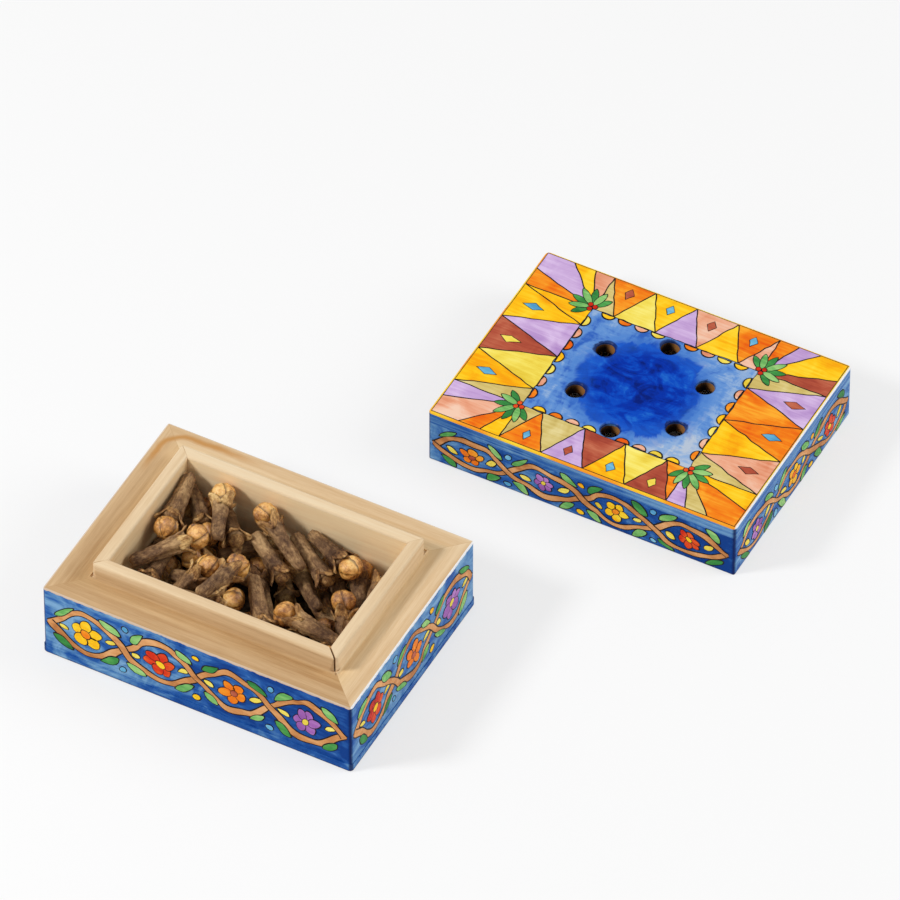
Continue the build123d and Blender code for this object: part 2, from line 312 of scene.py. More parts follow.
def wood_grain(shader, axis, seed):
    """Tone and height of sanded pale wood with its grain along an axis."""
    shift = (seed * 0.37, seed * 0.71, seed * 0.13)
    bands = shader.noise(along(axis, 7, 150), 3.0, 0.5, 0.5, shift)
    streaks = shader.noise(along(axis, 26, 800), 5.0, 0.6, 0.3, shift)
    fibres = shader.noise(along(axis, 260, 5200), 3.0, 0.6, 0.0, shift)
    tone = shader.times_plus(streaks, 0.24, shader.times(bands, 0.44))
    tone = shader.times_plus(fibres, 0.12, shader.plus(tone, 0.10))
    return tone, fibres


def wood_colour(shader, tone):
    return shader.ramp(tone, ((0.28, WOOD_DARK), (0.42, WOOD_TAN), (0.54, WOOD_PALE), (0.68, WOOD_CREAM)))


def blue_wash(shader, axis, depth, seed, deepening=0.0, middle=0.0):
    """Uneven brushed blue; depth is the weight of the coat, deepening its growth along the axis."""
    shift = (seed * 1.7, seed * 0.9, seed * 2.3)
    streaks = shader.noise(along(axis, 110, 1300), 5.0, 0.65, 0.6, shift)
    clouds = shader.noise((120, 120, 170), 4.0, 0.55, 1.4, shift)
    coat = shader.times_plus(clouds, 0.90, shader.times_plus(streaks, 0.35, -0.125))
    place = shader.minus(shader.parts(shader.place)[axis], middle)
    coat = shader.plus(shader.times_plus(place, deepening, coat), depth)
    stops = ((0.32, BLUE_PALE), (0.43, BLUE_LIGHT), (0.55, BLUE_MID), (0.72, BLUE_DEEP))
    return shader.ramp(coat, stops), streaks


def inset_from(shader, side, centre=(0.0, 0.0)):
    """How far a point lies inside the outer face of one side."""
    axis = 1 - BRUSH_AXIS[side]
    half = (half_length, half_width)[axis]
    place = shader.minus(shader.parts(shader.place)[axis], centre[axis])
    return shader.times_plus(place, -OUTWARD[side][axis], half)


def inset_from_ends(shader, centre=(0.0, 0.0)):
    """How far a point lies in from the nearer end of the box, along X and along Y."""
    places = shader.parts(shader.place)
    return [shader.minus(half, shader.absolute(shader.minus(places[axis], centre[axis])))
            for axis, half in enumerate((half_length, half_width))]


def corner_line(shader, in_x, in_y):
    """Share of the dark line painted down each upright corner."""
    line = shader.below(shader.larger(in_x, in_y), CORNER_LINE_MM * MM, 0.25 * MM)
    return shader.times(line, CORNER_DARKNESS)


def rail_surface(shader, surface, painted, fibres, streaks, fibre_strength, fibre_height):
    """Rough where the wood is bare and smoother where it is painted, each with its own relief."""
    relief = shader.bump(fibres, fibre_strength, fibre_height)
    relief = shader.bump(shader.times(streaks, painted), 0.25, 0.06 * MM, relief)
    return shader.finish(surface, shader.remap(painted, 0.0, 1.0, 0.66, 0.36), relief)


def orange_streak(shader, x, y):
    """Share of a resin streak that bends round the ledge's back left corner and fades out both ways."""
    margin = (STREAK_INSET_MM + STREAK_BEND_MM) * MM
    past_x = shader.larger(shader.minus(shader.times(x, -1.0), half_length - margin), 0.0)
    past_y = shader.larger(shader.minus(y, half_width - margin), 0.0)
    reach = shader.minus(shader.hypotenuse(past_x, past_y), (STREAK_BEND_MM + 0.8) * MM)
    waver = shader.noise((160, 160, 0), 3.0)
    off = shader.absolute(shader.times_plus(waver, 1.6 * MM, reach))
    share = shader.remap(off, 1.1 * MM, 0.1 * MM, 0.0, 0.85)
    share = shader.times(share, shader.remap(x, -10 * MM, -24 * MM))
    return shader.times(share, shader.remap(y, 10 * MM, 18 * MM))


def tray_rail_wood(shader, side, inset, z, seed):
    """Sanded wood whose ledge, lip and inner wall differ a little in tone, with painted warm shade near the
    lip's foot and painted bounce light on the inner wall.
    """
    tone, fibres = wood_grain(shader, BRUSH_AXIS[side], seed)
    ledge = shader.below(inset, LIP_FOOT_MM * MM, 0.4 * MM)
    shift = shader.remap(inset, 0.5 * MM, 6 * MM, *LEDGE_SHIFT[side])
    tone = shader.times_plus(ledge, shift, tone)
    paler = shader.remap(inset, (LIP_TOP_MM - 0.4) * MM, LIP_TOP_MM * MM, LIP_FACE_SHIFT[side], LIP_TOP_SHIFT)
    tone = shader.times_plus(shader.minus(1.0, ledge), paler, tone)
    # Painted shade: the ledge near the lip's foot is tinted warmer, as the lip's shadow there.
    near_lip = shader.times(ledge, shader.remap(inset, 2 * MM, 6.5 * MM))
    wood = shader.mix(near_lip, wood_colour(shader, tone), LIP_SHADOW_PAINTED_WARMTH, "MULTIPLY")
    # Painted light: the inner wall is made brighter and warmer, as bounced light would.
    wall = shader.times(shader.remap(inset, (LIP_WALL_MM - 0.1) * MM, (LIP_WALL_MM + 0.1) * MM),
                        shader.below(z, lip_top - 0.5 * MM, 0.3 * MM))
    return shader.mix(wall, wood, INNER_WALL_PAINTED_LIGHT[side], "MULTIPLY"), fibres


def mitre_line(shader, side, in_x, in_y, inset, x, z):
    """Share of the line where two rails meet, darker where the lip's front left mitre gapes."""
    mitre = shader.absolute(shader.minus(in_x, in_y))
    joint = shader.times(shader.below(mitre, 0.05 * MM, 0.07 * MM), 0.55)
    if side not in ("front", "left"):
        return joint
    gape = shader.times(shader.below(mitre, 0.10 * MM, 0.06 * MM), shader.below(inset, 8.9 * MM, 0.3 * MM))
    gape = shader.times(gape, shader.remap(z, lip_top - 2.2 * MM, lip_top - 1.6 * MM))
    gape = shader.times(gape, shader.remap(x, 0.0, -1 * MM))
    return shader.larger(joint, shader.times(gape, 0.95))


def tray_rail_finish(side, seed):
    """Bare sanded wood with a blue outer face and a primer line along its top edge."""
    shader = Shader("tray_" + side + "_rail")
    x, y, z = shader.parts(shader.place)
    in_x, in_y = inset_from_ends(shader)
    inset = inset_from(shader, side)
    wood, fibres = tray_rail_wood(shader, side, inset, z, seed)
    if side in ("left", "back"):
        wood = shader.mix(orange_streak(shader, x, y), wood, WOOD_ORANGE)
    wood = shader.mix(mitre_line(shader, side, in_x, in_y, inset, x, z), wood, WOOD_DARK)
    blue, streaks = blue_wash(shader, BRUSH_AXIS[side], COAT_DEPTH[side], seed, TRAY_DEEPENING[side])
    blue = shader.mix(corner_line(shader, in_x, in_y), blue, NAVY)
    edge = shader.times_plus(shader.noise((700, 700, 700), 2.0), 0.5 * MM, z)
    painted = shader.times(shader.below(inset, PAINTED_DEPTH_MM * MM, 0.04 * MM),
                           shader.below(edge, ledge_height - 0.02 * MM, 0.04 * MM))
    line = shader.times(shader.below(inset, PRIMER_LINE_MM * MM, 0.05 * MM), PRIMER_SHOWN[side])
    line = shader.times(line, shader.below(z, ledge_height + 0.5 * MM, 0.1 * MM))
    surface = shader.mix(painted, shader.mix(line, wood, PRIMER), blue)
    return rail_surface(shader, surface, painted, fibres, streaks, 0.3, 0.04 * MM)


def lid_rail_finish(side, seed):
    """Blue outer face, navy lower edge, bare wood inside and underneath."""
    shader = Shader("lid_" + side + "_rail")
    axis = BRUSH_AXIS[side]
    z = shader.parts(shader.place)[2]
    tone, fibres = wood_grain(shader, axis, seed)
    blue, streaks = blue_wash(shader, axis, COAT_DEPTH[side] + LID_COAT_EXTRA, seed, LID_DEEPENING[side],
                              lid_centre[axis])
    blue = shader.mix(corner_line(shader, *inset_from_ends(shader, lid_centre)), blue, NAVY)
    foot = shader.below(z, 0.3 * MM, 0.35 * MM)
    blue = shader.mix(shader.times(foot, CORNER_DARKNESS), blue, NAVY)
    painted = shader.below(inset_from(shader, side, lid_centre), 0.45 * MM, 0.1 * MM)
    surface = shader.mix(painted, wood_colour(shader, tone), blue)
    return rail_surface(shader, surface, painted, fibres, streaks, 0.35, 0.05 * MM)


def floor_board_finish():
    """Edge painted with the rails and navy at the very foot, bare underneath, and near black inside with
    clove dust and painted shade.
    """
    shader = Shader("tray_floor_board")
    z = shader.parts(shader.place)[2]
    tone, fibres = wood_grain(shader, 0, 5.0)
    # Painted shade with clove dust: the floor's top is darkened nearly to black in patches.
    dust_and_shade = shader.remap(shader.noise((260, 260, 260), 4.0), 0.25, 0.55, 0.8, 1.0)
    topside = shader.remap(z, rail_foot - 0.2 * MM, rail_foot - 0.05 * MM)
    wood = shader.mix(shader.times(dust_and_shade, topside), wood_colour(shader, tone), CLOVE_DUST_AND_SHADE)
    in_x, in_y = inset_from_ends(shader)
    facing = [shader.absolute(part) for part in shader.parts(shader.normal)]
    wrapped = shader.below(shader.smaller(in_x, in_y), 0.30 * MM, 0.03 * MM)
    rim = shader.larger(shader.remap(facing[2], 0.45, 0.55, 1.0, 0.0), wrapped)
    blue, _ = blue_wash(shader, 0, shader.remap(facing[0], 0.3, 0.7, 0.05, -0.06), 1.0, 2.6)
    edge = shader.mix(shader.below(z, 0.42 * MM, 0.14 * MM), blue, NAVY)
    edge = shader.mix(corner_line(shader, in_x, in_y), edge, NAVY)
    relief = shader.bump(fibres, 0.3, 0.05 * MM)
    return shader.finish(shader.mix(rim, wood, edge), shader.remap(rim, 0.0, 1.0, 0.7, 0.42), relief)


def blue_field(shader, across, up, radius, brush, fine):
    """Cloudy blue with a deep, ragged painted round in the middle."""
    swirled = shader.new("CombineXYZ")
    spread = shader.plus(radius, 2 * MM)
    polar = (shader.calc("DIVIDE", across, spread), shader.calc("DIVIDE", up, spread),
             shader.times(radius, 200.0))
    for socket, value in zip(swirled.inputs, polar):
        shader.put(socket, value)
    swirl = shader.noise((1.3, 1.3, 1.3), 4.0, 0.55, 1.5, source=swirled.outputs[0])
    tone = shader.times_plus(fine, 0.25, shader.times(brush, 0.75))
    tone = shader.plus(tone, shader.remap(radius, 19 * MM, 10 * MM, -0.03, 0.06))
    tone = shader.plus(tone, shader.remap(across, -19 * MM, 15 * MM, 0.07, -0.02))
    field = shader.ramp(tone, FIELD_BLUES, eased=True)
    blots = shader.noise((95, 190, 100), 4.0, 0.6, 2.2, turn=0.35)
    depth = shader.times_plus(swirl, 0.35, shader.times(brush, 0.15))
    deep = shader.ramp(shader.times_plus(blots, 0.5, depth), ROUND_BLUES, eased=True)
    deep = shader.mix(shader.remap(radius, 8.5 * MM, 12.5 * MM, 0.0, 0.5), deep, ROUND_EDGE_BLUE)
    ragged = shader.times_plus(shader.minus(brush, 0.5), RAGGED_MM * MM, radius)
    halo = shader.times(shader.below(ragged, HALO_RADIUS_MM * MM, 0.9 * MM), 0.55)
    field = shader.mix(halo, field, HALO_BLUE)
    return shader.mix(shader.below(ragged, ROUND_RADIUS_MM * MM, 0.8 * MM), field, deep)


def board_edge(shader, surface, across, z, in_x, in_y):
    """Warm rim round the top, primer at its right end, and brushed blue down the sides."""
    rim = shader.ramp(shader.noise((90, 90, 90), 1.0), RIM_PAINTS, eased=True)
    right_end = shader.times(shader.below(in_x, 0.30 * MM, 0.05 * MM), shader.remap(across, 0.0, 1 * MM))
    rim = shader.mix(right_end, rim, PRIMER)
    surface = shader.mix(shader.below(shader.smaller(in_x, in_y), RIM_WIDTH_MM * MM, 0.05 * MM), surface, rim)
    stops = ((0.36, BLUE_PALE), (0.47, BLUE_LIGHT), (0.58, BLUE_MID))
    band = shader.ramp(shader.noise((40, 40, 1700), 4.0, 0.6), stops, eased=True)
    blue, _ = blue_wash(shader, 0, -0.03, 7.0)
    side = shader.below(z, lid_top - RIM_DROP_MM * MM, 0.06 * MM)
    surface = shader.mix(side, surface, shader.mix(0.35, band, blue))
    return shader.mix(shader.times(corner_line(shader, in_x, in_y), side), surface, NAVY)


def vent_distance(shader, across, up, radius):
    """Distance to the centre of the nearest vent, by folding the ring onto one vent."""
    angle = shader.calc("ARCTAN2", up, across)
    fold = shader.minus(shader.calc("FLOORED_MODULO", angle, math.tau / 6), math.tau / 12)
    ahead = shader.times_plus(radius, shader.calc("COSINE", fold), -vent_circle)
    return shader.hypotenuse(ahead, shader.times(radius, shader.calc("SINE", fold)))


def vent_finish(shader, surface, under, vent, z, brush, fine):
    """Bored wood in each vent, brown on the side the light falls on and painted near black as shade deeper in
    and elsewhere, and a dark smear round it.
    """
    hole = shader.below(vent, vent_radius + 0.04 * MM, 0.02 * MM)
    drips = shader.times_plus(brush, 1.6 * MM, z)
    hole = shader.times(hole, shader.below(drips, lid_top + 0.1 * MM, 0.08 * MM))
    # Painted shade: near black deeper in each vent and away from the lit side, which stays brown.
    vent_shade = shader.remap(z, lid_board_under + 0.8 * MM, lid_top, 1.25, 1.0)
    vent_shade = shader.times_plus(fine, -0.5, vent_shade, clamp=True)
    wall = shader.parts(shader.normal)
    lit_side = shader.times_plus(wall[0], VENT_LIT_SIDE[0], shader.times(wall[1], VENT_LIT_SIDE[1]))
    vent_shade = shader.times(vent_shade, shader.minus(1.0, shader.remap(lit_side, 0.0, 0.75, 0.0, 0.9)))
    surface = shader.mix(hole, surface, shader.mix(vent_shade, BORED_WOOD, VENT_PAINTED_SHADE))
    smear = shader.below(shader.times_plus(brush, 3 * MM, vent), vent_radius + SMEAR_MM * MM, 0.2 * MM)
    for kept_clean in (hole, under):
        smear = shader.times(smear, shader.minus(1.0, kept_clean))
    return shader.mix(shader.times(smear, 0.85), surface, NAVY), hole


def lid_board_finish():
    """Blue field with a deep painted round in the middle, bare wood in and under the vents, with painted
    shade and a painted lit side in the vents.
    """
    shader = Shader("lid_top_board")
    x, y, z = shader.parts(shader.place)
    across, up = shader.minus(x, lid_centre.x), shader.minus(y, lid_centre.y)
    radius = shader.hypotenuse(across, up)
    in_x, in_y = inset_from_ends(shader, lid_centre)
    brush = shader.noise((150, 110, 100), 6.0, 0.6, 1.2, turn=0.5)
    fine = shader.noise((300, 1100, 400), 4.0, 0.6, 0.5, turn=0.35)
    surface = blue_field(shader, across, up, radius, brush, fine)
    surface = board_edge(shader, surface, across, z, in_x, in_y)
    tone, _ = wood_grain(shader, 0, 8.0)
    under = shader.times(shader.below(z, lid_board_under + 0.02 * MM, 0.01 * MM),
                         shader.remap(shader.smaller(in_x, in_y), 0.3 * MM, 0.4 * MM))
    surface = shader.mix(under, surface, wood_colour(shader, tone))
    vent = vent_distance(shader, across, up, radius)
    surface, hole = vent_finish(shader, surface, under, vent, z, brush, fine)
    roughness = shader.remap(shader.larger(under, hole), 0.0, 1.0, 0.30, 0.7)
    return shader.finish(surface, roughness, shader.bump(fine, 0.3, 0.08 * MM))


PAINTS = {
    "ink": ((0.030, 0.018, 0.014), (0.016, 0.011, 0.011), (0.008, 0.007, 0.009)),
    "yellow": ((1.0, 0.72, 0.045), (0.99, 0.56, 0.010), (0.93, 0.36, 0.004)),
    "orange": ((0.97, 0.42, 0.03), (0.90, 0.23, 0.010), (0.80, 0.11, 0.006)),
    "brick": ((0.56, 0.16, 0.085), (0.44, 0.085, 0.045), (0.31, 0.045, 0.028)),
    "lilac": ((0.70, 0.52, 0.80), (0.57, 0.38, 0.68), (0.44, 0.26, 0.57)),
    "peach": ((0.90, 0.60, 0.45), (0.84, 0.40, 0.25), (0.72, 0.25, 0.13)),
    "cream": ((0.78, 0.66, 0.30), (0.67, 0.53, 0.18), (0.53, 0.39, 0.10)),
    "lemon": ((0.96, 0.84, 0.20), (0.90, 0.72, 0.10), (0.78, 0.55, 0.04)),
    "ochre": ((0.66, 0.33, 0.08), (0.53, 0.22, 0.045), (0.38, 0.14, 0.03)),
    "aqua": ((0.28, 0.60, 0.80), (0.14, 0.44, 0.68), (0.07, 0.30, 0.55)),
    "leaf": ((0.42, 0.68, 0.24), (0.20, 0.50, 0.14), (0.07, 0.32, 0.07)),
    "grass": ((0.12, 0.42, 0.10), (0.05, 0.28, 0.06), (0.02, 0.16, 0.04)),
    "stem": ((0.80, 0.42, 0.18), (0.66, 0.29, 0.10), (0.46, 0.17, 0.05)),
    "red": ((0.84, 0.12, 0.02), (0.68, 0.03, 0.008), (0.46, 0.012, 0.006)),
    "plum": ((0.52, 0.24, 0.60), (0.37, 0.13, 0.45), (0.24, 0.07, 0.32)),
}
PAINT_ORDER = list(PAINTS)


def motif_paint(name):
    """A thin acrylic wash that pools and thins within each motif."""
    shader = Shader("paint_" + name)
    thin, body, pooled = PAINTS[name]
    pools = shader.noise((130, 130, 130), 3.0, 0.5, 0.8, shift=(len(name), 0, 0))
    strokes = shader.noise((140, 1500, 900), 3.0, 0.55, 0.4, turn=0.6)
    coat = shader.times_plus(strokes, 0.35, shader.times(pools, 0.65))
    colour = shader.ramp(coat, ((0.36, thin), (0.50, body), (0.64, pooled)))
    return shader.finish(colour, 0.38, shader.bump(strokes, 0.25, 0.05 * MM))


# ---- Painted motifs ----

def piece_from(bm, name):
    """An object in the scene with the finished mesh."""
    mesh = bpy.data.meshes.new(name)
    bm.to_mesh(mesh)
    bm.free()
    piece = bpy.data.objects.new(name, mesh)
    bpy.context.scene.collection.objects.link(piece)
    return piece


class Ornament:
    """Raised paint laid on one flat face: u runs along it, v across it, in millimetres."""

    def __init__(self, name, body, matrix, low, high):
        self.name, self.body, self.matrix, self.low, self.high = name, body, matrix, low, high
        self.bm = bmesh.new()

    def waver(self, verts, fineness, size):
        """Shift points as an unsteady hand would, and less and less towards the rim of the face."""
        for v in verts:
            room = min(v.co.x - self.low[0], self.high[0] - v.co.x, v.co.y - self.low[1],
                       self.high[1] - v.co.y)
            reach = size * max(0.0, min(1.0, room / WAVER_MARGIN_MM))
            place = v.co * fineness
            v.co += Vector((noise.noise(place), noise.noise(place + SECOND_DRAW), 0.0)) * reach

    def raise_paint(self, faces, lift):
        """Turn flat faces into a closed skin of paint seated in the wood."""
        verts = list({v for f in faces for v in f.verts})
        for v in verts:
            v.co.z -= SEAT_DEPTH_MM
        made = bmesh.ops.extrude_face_region(self.bm, geom=faces)
        top = [g for g in made["geom"] if isinstance(g, bmesh.types.BMVert)]
        bmesh.ops.translate(self.bm, verts=top, vec=(0, 0, SEAT_DEPTH_MM + lift))

    def skin(self, face, paint, lift, ink):
        """Ink line round a flat face, paint inside it, both raised off the wood."""
        ring = bmesh.ops.inset_region(self.bm, faces=[face], thickness=ink, use_boundary=True,
                                      use_even_offset=True)
        face.material_index = PAINT_ORDER.index(paint)
        self.waver(face.verts, INK_FINENESS, INK_UNEVENNESS * ink)
        self.raise_paint([face] + ring["faces"], lift)

    def patch(self, outline, paint, lift=PAINT_THICKNESS_MM, ink=PATCH_INK_MM):
        """A patch of one paint whose sides waver as a brush does, but not along the rim."""
        face = self.bm.faces.new([self.bm.verts.new((u, v, 0.0)) for u, v in outline])
        bmesh.ops.bisect_edges(self.bm, edges=face.edges[:], cuts=PATCH_CUTS)
        self.waver(face.verts, WOBBLE_FINENESS, WOBBLE_MM)
        face.normal_update()
        if face.normal.z < 0:
            face.normal_flip()
        self.skin(face, paint, lift, ink)

    def oval(self, centre, size, turn, paint, lift=PAINT_THICKNESS_MM, point=0.0, steps=18, half=False,
             ink=INK_WIDTH_MM):
        """A dot, petal or leaf: a circle drawn out, its ends sharpened by the given amount."""
        made = bmesh.ops.create_circle(self.bm, cap_ends=True, radius=0.5, segments=steps)
        for v in made["verts"]:
            v.co.y *= abs(2 * v.co.y) ** point * (0.0 if half and v.co.y < 0 else 1.0)
        place = Matrix.Translation((*centre, 0)) @ Matrix.Rotation(turn, 4, "Z")
        bmesh.ops.transform(self.bm, verts=made["verts"], matrix=place @ Matrix.Diagonal((*size, 1, 1)))
        self.skin(made["verts"][0].link_faces[0], paint, lift, ink)

    def strand(self, path, length, width, paint, steps=96, lift=PAINT_THICKNESS_MM):
        """A ribbon with an ink line down each edge; path gives v and lift at u."""
        made = bmesh.ops.create_grid(self.bm, x_segments=steps, y_segments=3, size=0.5)
        rows = (-0.5 * width, -0.5 * width + INK_WIDTH_MM, 0.5 * width - INK_WIDTH_MM, 0.5 * width)
        faces = list({f for v in made["verts"] for f in v.link_faces})
        for f in faces:
            outer_row = abs(f.calc_center_median().y) > 0.25
            f.material_index = PAINT_ORDER.index("ink" if outer_row else paint)
        for v in made["verts"]:
            u = v.co.x * length
            offset = rows[round((v.co.y + 0.5) * 3)]
            here, rise = path(u)
            slope = (path(u + 0.01)[0] - here) / 0.01
            n = math.hypot(1.0, slope)
            v.co = Vector((u - offset * slope / n, here + offset / n, rise))
        self.raise_paint(faces, lift)

    def rosette(self, centre, radius, petals, paint, eye, turn=0.0, lift=0.09):
        """A ring of petals round an eye, as on a painted plate."""
        for i in range(petals):
            a = turn + math.tau * i / petals
            middle = (centre[0] + 0.58 * radius * math.cos(a), centre[1] + 0.58 * radius * math.sin(a))
            self.oval(middle, (0.92 * radius, 0.80 * radius), a, paint, lift + 0.01 * (i % 2),
                      0.15, 14, ink=0.17)
        self.oval(centre, (0.62 * radius, 0.62 * radius), 0.0, eye, lift + 0.03, steps=12, ink=0.15)

    def build(self):
        self.bm.transform(Matrix.Scale(MM, 4))
        self.bm.transform(self.matrix)
        bmesh.ops.recalc_face_normals(self.bm, faces=self.bm.faces)
        piece = piece_from(self.bm, self.name)
        for paint in PAINT_ORDER:
            piece.data.materials.append(paint_materials[paint])
        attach(piece, self.body)


HALF_SIDE_MM = {"front": 34.0, "right": 25.0, "back": 34.0, "left": 25.0}
EYES = {"front": 4, "right": 3, "back": 4, "left": 3}
# Each plait: its middle above the foot, its swing, the strand's width and the flower's radius.
TRAY_PLAIT_MM = (9.7, 5.2, 1.9, 3.4)
LID_PLAIT_MM = (5.5, 3.6, 1.6, 2.5)
FLOWERS = (("yellow", "orange", 5), ("red", "yellow", 6), ("orange", "brick", 5), ("plum", "lemon", 6))


def side_plane(side, centre):
    """Matrix that stands a flat drawing up on one outer face, its origin at the floor."""
    out = Vector(OUTWARD[side])
    right = Vector((0, 0, 1)).cross(out)
    reach = half_width if side in ("front", "back") else half_length
    origin = Vector((centre[0], centre[1], 0.0)) + out * reach
    turn = Matrix((right, (0, 0, 1), out)).transposed().to_4x4()
    return Matrix.Translation(origin) @ turn


def plait_band(name, body, side, centre, sizes, first):
    """Two strands plaited along a side, with a flower in each eye and leaves at the crossings."""
    middle, swing, strand_width, flower = sizes
    reach = HALF_SIDE_MM[side] + 0.7
    art = Ornament(name, body, side_plane(side, centre), (-reach, 0.6), (reach, 2 * middle + 1.0))
    half, eyes = HALF_SIDE_MM[side] - 0.8, EYES[side]
    pitch = 2 * half / eyes
    start = -half + 0.5 * pitch

    def strand_path(sign):
        def path(u):
            phase = math.pi * (u - start) / pitch
            return middle + sign * swing * math.cos(phase), 0.018 * sign * math.sin(phase)
        return path

    for sign in (1, -1):
        art.strand(strand_path(sign), 2 * half + 0.6, strand_width, "stem")
    leaf = 0.5 * flower + 3.4
    for i in range(eyes):
        u = start + i * pitch
        petals, eye, count = FLOWERS[(i + first) % len(FLOWERS)]
        art.rosette((u, middle), flower, count, petals, eye, 0.3 + i)
        for hand in (-1, 1):
            art.oval((u + hand * (flower + 1.9), middle + 0.3 * hand), (3.0, 1.6), 0.5 * hand, "lemon",
                     0.06, 0.45, ink=0.2)
    for i in range(eyes + 1):
        u = start + (i - 0.5) * pitch
        for up in (-1, 1):
            for hand in (-1, 1):
                if abs(u + hand * leaf) > half:
                    continue
                green = "leaf" if (i + (up + hand) // 2) % 3 else "grass"
                place = (u + hand * 3.0, middle + up * (0.30 * swing + 0.55 * leaf))
                art.oval(place, (leaf, 0.42 * leaf), up * hand * 0.62, green, 0.07, 0.4, ink=0.22)
            if abs(u) < half - 1.0:
                bud = (u, middle + up * (swing + 0.2))
                art.oval(bud, (1.8, 1.8), 0.0, "aqua" if i % 2 else "yellow", 0.06, steps=12, ink=0.2)
    art.waver(art.bm.verts, HAND_FINENESS, HAND_WOBBLE_MM)
    art.build()


# ---- Patchwork on the lid ----

FIELD_HALF_MM = (19.0, 15.5)
LID_RIM_MM = 0.5
FAN_PAINTS = (("brick", "yellow", "lilac", "orange"), ("orange", "lilac", "yellow", "peach"),
              ("lilac", "peach", "orange", "yellow"), ("yellow", "orange", "cream", "lilac"))
SCALLOP_PAINTS = ("yellow", "orange", "peach", "lemon")
SCALLOP_SIZE_MM = (3.3, 3.0)
SCALLOPS_LONG, SCALLOPS_SHORT = 9, 7
GEESE_OUT = ("orange", "yellow", "peach", "orange", "lilac", "yellow", "brick", "yellow")
GEESE_IN = ("lemon", "lilac", "yellow", "peach", "yellow", "orange", "cream", "brick", "lemon", "orange")


def fan_corner(art, hand, up, paints, outer):
    """Rays that fan out from a corner of the blue field to the rim."""
    field = Vector(FIELD_HALF_MM)
    rim = [(outer.x, field.y), (outer.x, 0.5 * (field.y + outer.y)), (outer.x, outer.y),
           (0.60 * outer.x + 0.40 * field.x, outer.y), (0.28 * outer.x + 0.72 * field.x, outer.y),
           (field.x, outer.y)]
    wedges = ((0, 1), (1, 2, 3), (3, 4), (4, 5))
    for wedge, paint in zip(wedges, paints):
        outline = [field] + [Vector(rim[i]) for i in wedge]
        art.patch([(hand * p.x, up * p.y) for p in outline], paint)


def zigzag_strip(art, count, half, inner, outer, turned, sign, first):
    """A row of triangles that point in to the field, and the ones between that point out."""
    width = 2 * half / count

    def place(along_strip, across_strip):
        point = (along_strip, sign * across_strip)
        return (point[1], point[0]) if turned else point

    for i in range(count):
        left = -half + i * width
        tip = left + 0.5 * width
        paint = GEESE_OUT[(i + first) % len(GEESE_OUT)]
        art.patch([place(left, outer), place(left + width, outer), place(tip, inner)], paint)
        shade = GEESE_IN[(i + 2 * first) % len(GEESE_IN)]
        past = tip + width if i + 1 < count else half
        art.patch([place(tip, inner), place(past, inner), place(left + width, outer)], shade)
        if i == 0:
            art.patch([place(left, inner), place(tip, inner), place(left, outer)], "cream")
        tall = outer - inner
        diamond = [(tip, outer - 0.14 * tall), (tip + 1.1, outer - 0.30 * tall),
                   (tip, outer - 0.46 * tall), (tip - 1.1, outer - 0.30 * tall)]
        accent = "lemon" if paint == "brick" else "brick"
        art.patch([place(*p) for p in diamond], "aqua" if (i + first) % 2 else accent, 0.08)


def lid_patchwork():
    """Zigzags and fans round the blue field, a scalloped edge, and a leaf spray in each corner."""
    plane = Matrix.Translation((lid_centre.x, lid_centre.y, lid_top))
    outer = Vector((half_length / MM - LID_RIM_MM, half_width / MM - LID_RIM_MM))
    art = Ornament("lid_patchwork", "lid", plane, -outer, outer)
    field = Vector(FIELD_HALF_MM)
    for n, (hand, up) in enumerate(((1, 1), (-1, 1), (-1, -1), (1, -1))):
        fan_corner(art, hand, up, FAN_PAINTS[n], outer)
    for n, sign in enumerate((1, -1)):
        zigzag_strip(art, 4, field.x, field.y, outer.y, False, sign, 3 * n)
        zigzag_strip(art, 3, field.y, field.x, outer.x, True, sign, 3 * n + 2)
    for sign in (1, -1):
        for i in range(SCALLOPS_LONG):
            if i != SCALLOPS_LONG // 2:
                place = (-field.x + (i + 1) * 2 * field.x / (SCALLOPS_LONG + 1), sign * field.y)
                scallop(art, place, 0.5 * math.pi * (1 + sign), i)
        for i in range(SCALLOPS_SHORT):
            place = (sign * field.x, -field.y + (i + 1) * 2 * field.y / (SCALLOPS_SHORT + 1))
            scallop(art, place, 0.5 * math.pi * sign, i + 1)
    for hand in (1, -1):
        for up in (1, -1):
            leaf_spray(art, (hand * (field.x + 0.4), up * (field.y + 0.4)), math.atan2(up, hand))
    art.build()


def scallop(art, place, turn, number):
    """A half round that stands on the edge of the blue field."""
    paint = SCALLOP_PAINTS[number % len(SCALLOP_PAINTS)]
    art.oval(place, SCALLOP_SIZE_MM, turn, paint, 0.07, steps=20, half=True)


def leaf_spray(art, root, outward):
    """Seven leaves fanned round a corner, with three berries where they meet."""
    for i in range(7):
        lean = outward + (i - 3) * 0.52
        length = 5.4 - 0.35 * abs(i - 3)
        middle = (root[0] + 0.55 * length * math.cos(lean), root[1] + 0.55 * length * math.sin(lean))
        art.oval(middle, (length, 1.7), lean, "leaf" if i % 2 else "grass", 0.09 + 0.01 * (i % 2), 0.4,
                 ink=0.16)
    for i in range(3):
        a = outward + math.tau * i / 3
        art.oval((root[0] + 0.7 * math.cos(a), root[1] + 0.7 * math.sin(a)), (1.3, 1.3), 0.0, "red", 0.13,
                 steps=12, ink=0.15)


# ---- Cloves ----

CLOVE_STEM_TAIL, CLOVE_STEM_WAIST, CLOVE_CROWN = 2.4, 3.1, 4.0
CLOVE_BUD_HEIGHT = 4.8
WAIST_SHARE = 0.55
SEPALS = 4
CLOVE_SHARE_OPEN = 0.30
